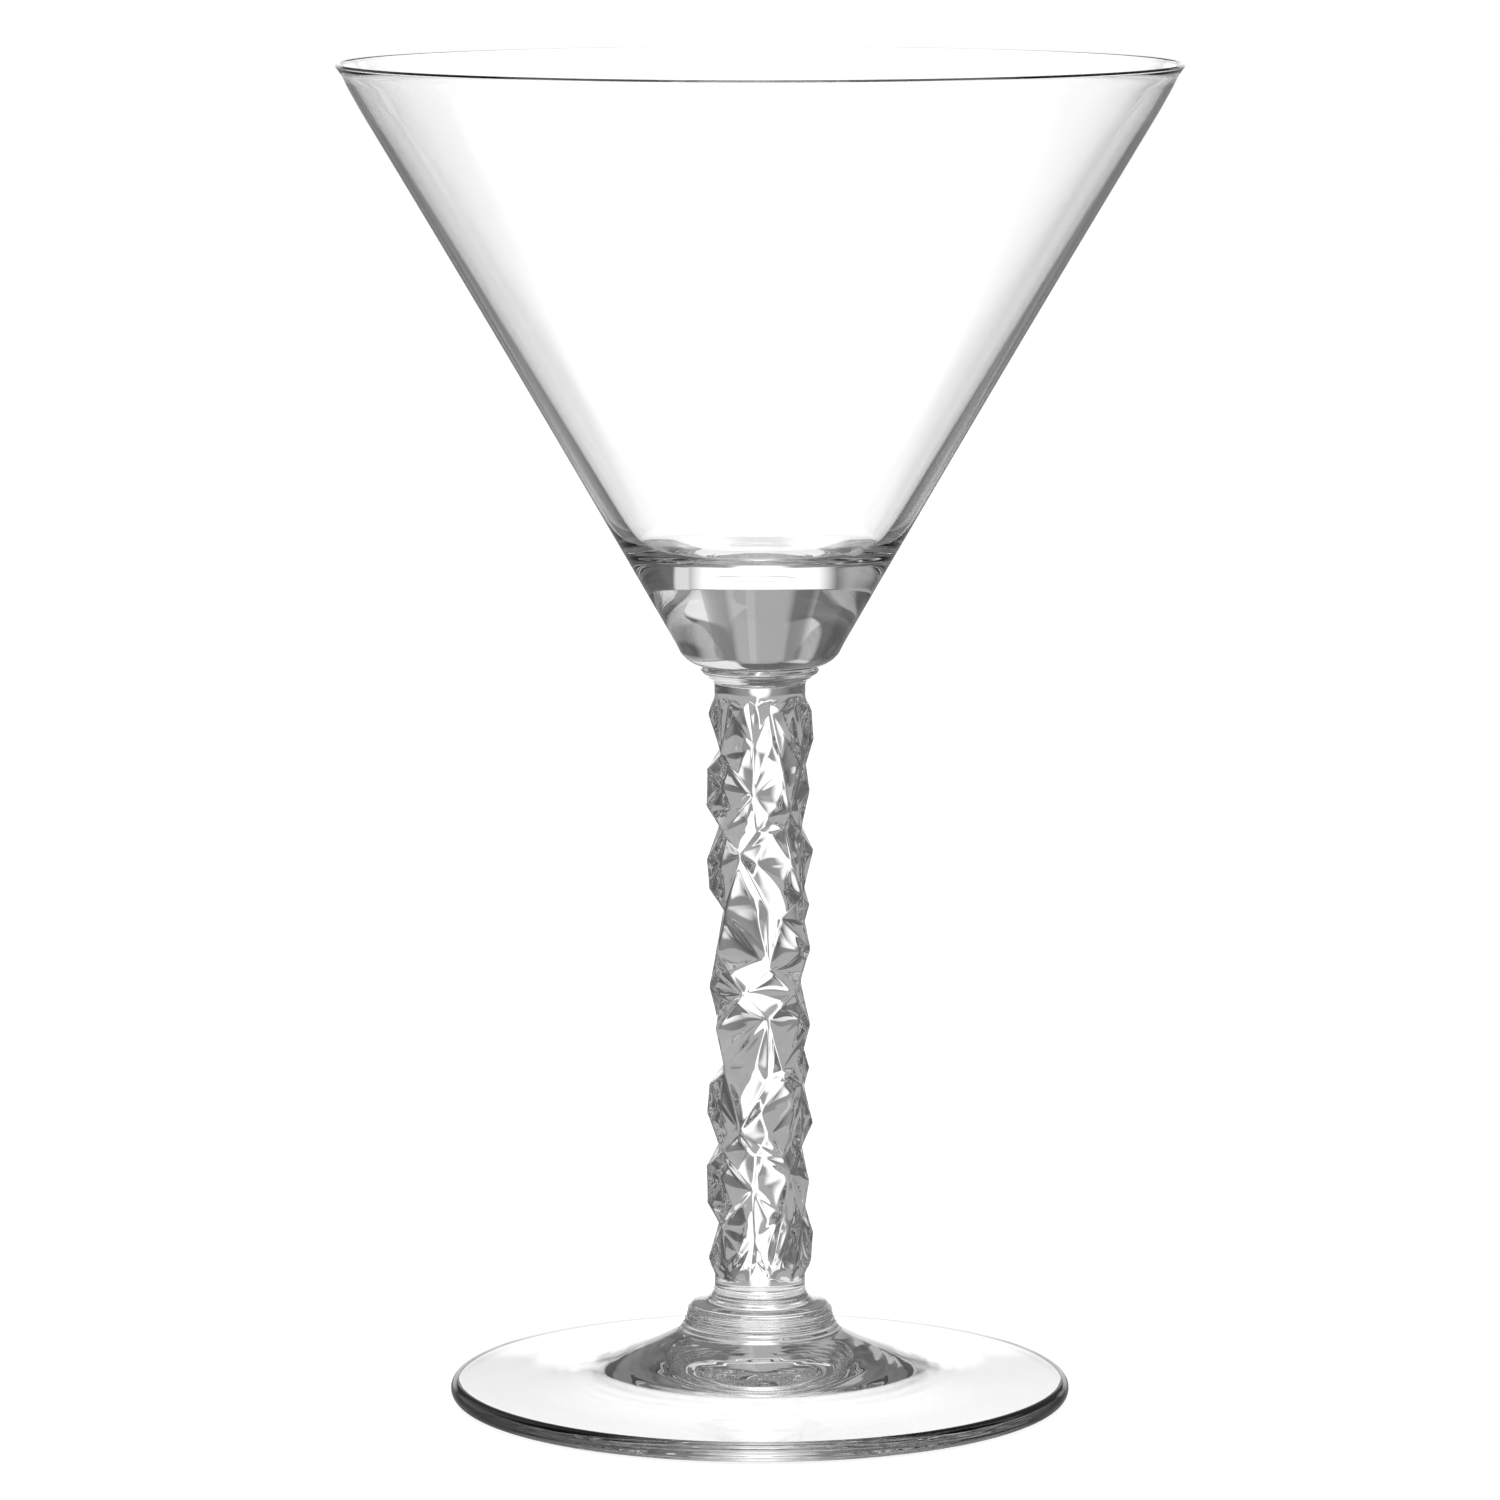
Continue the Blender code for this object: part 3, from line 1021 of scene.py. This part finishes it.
CARDS = (
    LightCard(0, 9, 9, -60, 10, 4, 1.28),
    LightCard(0, 23, 14, -2, 10, 4, 1.15),
    LightCard(0, 30, 40, -60, 3, 6, 0.32),
    LightCard(-45, 11, 6, -60, 3, 4, 1.20, 0.12),
    LightCard(-90, 11, 6, -60, 6, 4, 1.20, 0.12),
    LightCard(135, 11, 6, -60, 6, 4, 1.20, 0.12),
    LightCard(0, 180, 5, -90, -38, 8, 1.20, 0.5),
    LightCard(0, 15, 8, 8, 66, 4, 0.42),
    LightCard(4, 2.5, 2, 4, 66, 4, 0.50),
    LightCard(-8, 2, 1, 4, 66, 4, 0.36),
    LightCard(97, 56, 8, 50, 78, 4, 0.85),
    LightCard(150, 48, 14, -70, 4, 10, 0.62, 0.12),
    LightCard(-150, 48, 14, -70, 4, 10, 0.50, 0.12),
    LightCard(92, 16, 12, -55, 8, 8, 0.42, 0.12),
    LightCard(-92, 24, 12, -55, 8, 8, 0.36, 0.12),
    LightCard(27, 4, 3, 3, 14, 3, 0.75),
    LightCard(52, 9, 6, 30, 52, 5, 0.70),
    LightCard(-42, 15, 14, 4, 64, 6, 0.42),
    LightCard(150, 30, 9, 20, 60, 9, 0.30),
    LightCard(-140, 16, 6, -5, 55, 5, 0.60),
    LightCard(68, 5, 3, -30, 18, 4, 0.75, 0.2),
    LightCard(-66, 5, 3, -30, 18, 4, 0.75, 0.2),
    LightCard(108, 5, 3, -20, 40, 4, 0.70, 0.2),
)

THROUGH_WALLS = LightCard(0, 180, 5, -60, 8, 6, 1.16)
"""White on every side, for light that crossed two walls and was never reflected."""
THROUGH_PLATE = LightCard(0, 180, 5, -34, -10, 4, 0.42)
"""Grey on every side, for all light that was never reflected; a white one bleaches the stem."""
UNREFLECTED = 0.5
"""Glossy depth below which light was never reflected."""
TWO_WALLS = 3.5
"""Transmission depth above which light crossed two walls, of two surfaces each."""


@dataclass
class Studio:
    """Plain white floor, soft surround and overhead softbox, and the camera."""

    glass_ior: ClassVar[float] = 1.52
    card_inputs: ClassVar[tuple[str, ...]] = (
        "Heading", "Half Width", "Side Edge", "Low", "High", "Level Edge", "Strength"
    )
    room_dark: float = 0.09
    room_light: float = 0.17
    floor_radius: float = 3.0
    floor_glow: float = 0.84
    floor_colour: tuple[float, ...] = (0.30, 0.30, 0.30, 1.0)
    floor_sides: int = 96
    floor_drop: float = 0.05 * MM
    softbox_size: float = 1.2
    softbox_energy: float = 4.0
    softbox_place: tuple[float, ...] = (0.0, 0.15, 1.3)
    camera_distance: float = 985.8 * MM
    camera_height: float = 219.1 * MM
    camera_side: float = -1.33 * MM
    camera_pitch: float = 7.567
    lens: float = 178.08
    sensor_width: float = 36.0
    bounces: int = 24
    glossy_bounces: int = 12

    def card_group(self) -> bpy.types.NodeTree:
        """Brightness of one card in a direction: the product of soft windows of its angles.

        Returns:
            A group with a direction, the card's angles and its strength in, and Light out.
        """
        inputs = {"Direction": ("NodeSocketVector", None)}
        for name in self.card_inputs:
            inputs[name] = ("NodeSocketFloat", 0.0)
        group, pen, given, result = new_group("light_card", inputs, {"Light": "NodeSocketFloat"})
        out = given.outputs
        split = pen.node("ShaderNodeSeparateXYZ", {"Vector": out["Direction"]})
        heading = pen.math("RADIANS", out["Heading"])
        along_x = pen.math("MULTIPLY", split.outputs["X"], pen.math("SINE", heading))
        along = pen.math("MULTIPLY_ADD", split.outputs["Y"], pen.math("COSINE", heading), along_x)
        up = split.outputs["Z"]
        flat = pen.math("SQRT", pen.math("SUBTRACT", 1.0, pen.math("MULTIPLY", up, up)))
        cosine = pen.math("DIVIDE", along, pen.math("MAXIMUM", flat, 0.0001))
        clipped = pen.math("MINIMUM", pen.math("MAXIMUM", cosine, -1.0), 1.0)
        away = pen.math("DEGREES", pen.math("ARCCOSINE", clipped))
        rise = pen.math("DEGREES", pen.math("ARCSINE", up))
        side = pen.math("MULTIPLY", out["Side Edge"], 0.5)
        level = pen.math("MULTIPLY", out["Level Edge"], 0.5)

        light = out["Strength"]
        for value, edge, half, start, end in (
            (away, out["Half Width"], side, 1.0, 0.0),
            (rise, out["Low"], level, 0.0, 1.0),
            (rise, out["High"], level, 1.0, 0.0),
        ):
            low, high = pen.math("SUBTRACT", edge, half), pen.math("ADD", edge, half)
            light = pen.math("MULTIPLY", light, pen.smooth(value, low, high, start, end))
        pen.tree.links.new(light, result.inputs["Light"])
        return group

    def card_light(
        self, pen: NodePen, group: bpy.types.NodeTree, direction: bpy.types.NodeSocket, card: LightCard
    ) -> bpy.types.NodeSocket:
        """Place one card's group node.

        Args:
            pen: Pen of the world's node tree.
            group: The card group.
            direction: Direction that is looked in.
            card: The card.

        Returns:
            The card's brightness in that direction.
        """
        sizes = (card.half_width, card.side_edge, card.low, card.high, card.level_edge)
        values = dict(zip(self.card_inputs, (card.heading, *sizes, card.strength)))
        made = pen.node("ShaderNodeGroup", node_tree=group)
        pen.tree.links.new(direction, made.inputs["Direction"])
        for name, value in values.items():
            made.inputs[name].default_value = value
        return made.outputs["Light"]

    def surround(self) -> None:
        """World: plain white to the eye and to the floor, dark room with white cards to the glass."""
        world = bpy.data.worlds.new("studio")
        bpy.context.scene.world = world
        world.use_nodes = True
        pen = NodePen(world.node_tree)
        direction = pen.node("ShaderNodeTexCoord").outputs["Generated"]
        group = self.card_group()
        uneven = pen.node("ShaderNodeTexNoise", {"Vector": direction, "Scale": 1.7, "Detail": 1.0})
        light = pen.smooth(uneven.outputs["Fac"], 0.35, 0.65, self.room_dark, self.room_light)
        path = pen.node("ShaderNodeLightPath")
        for card in CARDS:
            seen = self.card_light(pen, group, direction, card)
            if card.mirrored < 1.0:
                loss = pen.math("MULTIPLY_ADD", path.outputs["Is Glossy Ray"], card.mirrored - 1.0, 1.0)
                seen = pen.math("MULTIPLY", seen, loss)
            light = pen.math("MAXIMUM", light, seen)
        unreflected = pen.math("LESS_THAN", path.outputs["Glossy Depth"], UNREFLECTED)
        two_walls = pen.math("GREATER_THAN", path.outputs["Transmission Depth"], TWO_WALLS)
        for card, share in ((THROUGH_WALLS, two_walls), (THROUGH_PLATE, 1.0)):
            seen = self.card_light(pen, group, direction, card)
            seen = pen.math("MULTIPLY", pen.math("MULTIPLY", seen, unreflected), share)
            light = pen.math("MAXIMUM", light, seen)
        plain = pen.math("MAXIMUM", path.outputs["Is Camera Ray"], path.outputs["Is Diffuse Ray"])
        strength = pen.node("ShaderNodeMix", {"Factor": plain, 2: light, 3: 1.0}, data_type="FLOAT").outputs[0]
        background = world.node_tree.nodes["Background"]
        background.inputs["Color"].default_value = (1.0, 1.0, 1.0, 1.0)
        pen.tree.links.new(strength, background.inputs["Strength"])

    def floor(self) -> bpy.types.Object:
        """Large plain white floor that the foot stands on, with a soft contact shade."""
        mesh = bpy.data.meshes.new("floor")
        angle = np.arange(self.floor_sides) / self.floor_sides * math.tau
        rim = np.stack([np.cos(angle), np.sin(angle), np.zeros_like(angle)], axis=1) * self.floor_radius
        rim[:, 2] = -self.floor_drop
        mesh.from_pydata(rim.tolist(), [], [list(range(self.floor_sides))])
        floor = bpy.data.objects.new("floor", mesh)
        bpy.context.scene.collection.objects.link(floor)
        material = bpy.data.materials.new("floor_white")
        material.use_nodes = True
        shader = material.node_tree.nodes["Principled BSDF"]
        shader.inputs["Base Color"].default_value = self.floor_colour
        shader.inputs["Roughness"].default_value = 0.9
        shader.inputs["Specular IOR Level"].default_value = 0.0
        shader.inputs["Emission Color"].default_value = (1.0, 1.0, 1.0, 1.0)
        shader.inputs["Emission Strength"].default_value = self.floor_glow
        mesh.materials.append(material)
        floor.visible_transmission = False
        floor.visible_glossy = False
        return floor

    def softbox(self) -> bpy.types.Object:
        """Wide overhead softbox that gives the floor its even light."""
        lamp = bpy.data.lights.new("softbox", "AREA")
        lamp.shape = "DISK"
        lamp.size = self.softbox_size
        lamp.energy = self.softbox_energy
        box = bpy.data.objects.new("softbox", lamp)
        box.location = self.softbox_place
        box.visible_glossy = False
        box.visible_transmission = False
        bpy.context.scene.collection.objects.link(box)
        return box

    def camera(self) -> bpy.types.Object:
        """Long-lens camera a little above the rim, looking slightly down."""
        data = bpy.data.cameras.new("camera")
        data.lens = self.lens
        data.sensor_width = self.sensor_width
        data.clip_start = 0.01
        data.clip_end = 50.0
        camera = bpy.data.objects.new("camera", data)
        camera.location = (self.camera_side, -self.camera_distance, self.camera_height)
        camera.rotation_euler = (math.radians(90.0 - self.camera_pitch), 0.0, 0.0)
        bpy.context.scene.collection.objects.link(camera)
        bpy.context.scene.camera = camera
        return camera

    def build(self) -> None:
        """Set up the surround, floor, lamp, camera and the plain colour transform."""
        self.surround()
        self.floor()
        self.softbox()
        self.camera()
        scene = bpy.context.scene
        scene.view_settings.view_transform = "Standard"
        scene.cycles.max_bounces = self.bounces
        scene.cycles.transmission_bounces = self.bounces
        scene.cycles.glossy_bounces = self.glossy_bounces
        scene.cycles.transparent_max_bounces = self.bounces


BOWL_FINISH = GlassFinish(
    "bowl_clear_glass", haze=0.0, swell=0.0006 * MM, peel=0.0, marks=0.0012 * MM, mark_pitch=0.5 * MM,
    mark_top=112 * MM
)
STEM_FINISH = GlassFinish("stem_pressed_glass", haze=0.0, swell=0.006 * MM, peel=0.0006 * MM, marks=0.0)
COLLAR_FINISH = GlassFinish(
    "collar_tooled_glass", haze=0.0, swell=0.004 * MM, peel=0.0, marks=0.0005 * MM, mark_pitch=0.3 * MM
)
FOOT_FINISH = GlassFinish("foot_clear_glass", haze=0.0, swell=0.005 * MM, peel=0.0, marks=0.0)


def main() -> None:
    """Build the five gathers from the foot up, then the studio."""
    logging.basicConfig(level=logging.INFO, format="%(name)s: %(message)s")
    groups = {"fire_polish": fire_polish_group(), "tool_marks": tool_marks_group()}
    joint = fused_joint_material()
    gathers: list[Gather] = [
        Foot("foot", Slot.FOOT, FOOT_FINISH),
        LowerCollar("lower_collar", Slot.COLLAR, COLLAR_FINISH),
        FacetedStem("stem", Slot.STEM, STEM_FINISH, sharp=60.0),
        UpperCollar("upper_collar", Slot.COLLAR, COLLAR_FINISH),
        Bowl("bowl", Slot.BOWL, BOWL_FINISH),
    ]
    for gather in gathers:
        gather.build(groups, joint)
    Studio().build()


if __name__ == "__main__":
    main()
